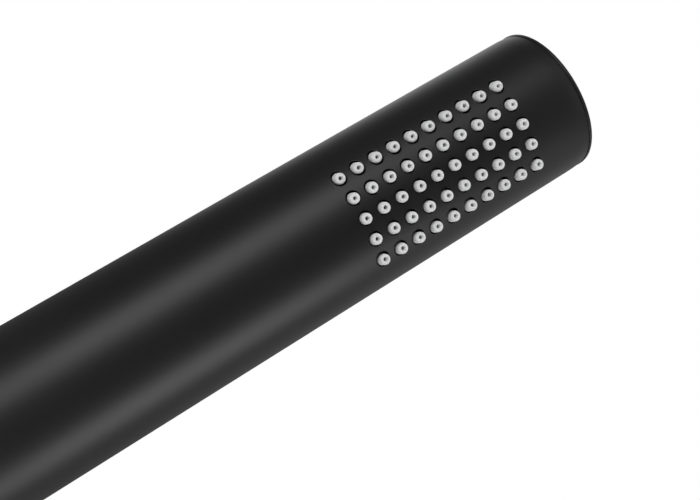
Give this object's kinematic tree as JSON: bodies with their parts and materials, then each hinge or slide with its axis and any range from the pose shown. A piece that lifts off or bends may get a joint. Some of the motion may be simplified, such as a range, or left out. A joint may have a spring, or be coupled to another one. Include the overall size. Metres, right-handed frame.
{
  "type": "handheld shower head",
  "caption": "Straight stick hand shower with a grid of soft nozzles on one side, a screwed end cap and a threaded inlet for a hose.",
  "frame": {"origin": "on the tube's axis, at the inlet's end face", "axes": "+Z along the handset from the inlet to the end cap; all the nozzles point along -Y"},
  "size_m": [0.028, 0.029, 0.215],
  "materials": {
    "tube_black": "satin black coat on a drawn brass tube",
    "cap_black": "satin black coat on turned brass",
    "inlet_black": "satin black coat on a turned brass fitting",
    "nozzle_silicone": "matte light grey silicone",
    "carrier_plastic": "moulded grey plastic",
    "adapter_plastic": "moulded grey plastic",
    "water_tube_plastic": "extruded white plastic",
    "seal_rubber": "black seal rubber",
    "filter_plastic": "moulded natural plastic",
    "mesh_steel": "woven stainless wire",
    "regulator_plastic": "moulded green plastic",
    "valve_plastic": "moulded natural plastic",
    "poppet_plastic": "moulded blue plastic",
    "spring_steel": "bright stainless wire"
  },
  "bodies": {
    "shell": {"handle_tube": "tube_black", "nozzle_mat": "nozzle_silicone", "spray_carrier": "carrier_plastic", "carrier_front_oring": "seal_rubber", "carrier_rear_oring": "seal_rubber", "carrier_adapter": "adapter_plastic", "adapter_oring": "seal_rubber", "water_tube": "water_tube_plastic", "water_tube_top_oring": "seal_rubber", "water_tube_bottom_oring": "seal_rubber", "inlet_fitting": "inlet_black", "inlet_fitting_oring": "seal_rubber", "filter_frame": "filter_plastic", "filter_mesh": "mesh_steel", "regulator_body": "regulator_plastic", "regulator_cap": "filter_plastic", "regulator_ring": "seal_rubber", "regulator_oring": "seal_rubber", "valve_housing": "valve_plastic", "valve_oring": "seal_rubber", "valve_spring": "spring_steel", "valve_retainer": "valve_plastic"},
    "poppet": {"valve_poppet": "poppet_plastic", "valve_poppet_seal": "seal_rubber"},
    "cap_seal": {"end_cap_oring": "seal_rubber"},
    "cap": {"end_cap": "cap_black"}
  },
  "joints": [
    {"name": "poppet_lift", "type": "slide", "parent": "shell", "child": "poppet", "axis": [0, 0, 1], "range_m": [0, 0.0022], "stiffness_N_per_m": 60, "springref_m": -0.003, "deforming": ["valve_spring"]},
    {"name": "cap_lift", "type": "slide", "parent": "shell", "child": "cap_seal", "axis": [0, 0, 1], "range_m": [0, 0.003]},
    {"name": "cap_turn", "type": "hinge", "parent": "cap_seal", "child": "cap", "pos_m": [0, 0, 0.2135], "axis": [0, 0, 1], "range_deg": [0, 1080]}
  ],
  "couplings": [
    {"joint": "cap_turn", "follows": "cap_lift", "rad_per_m": 6283.2}
  ]
}
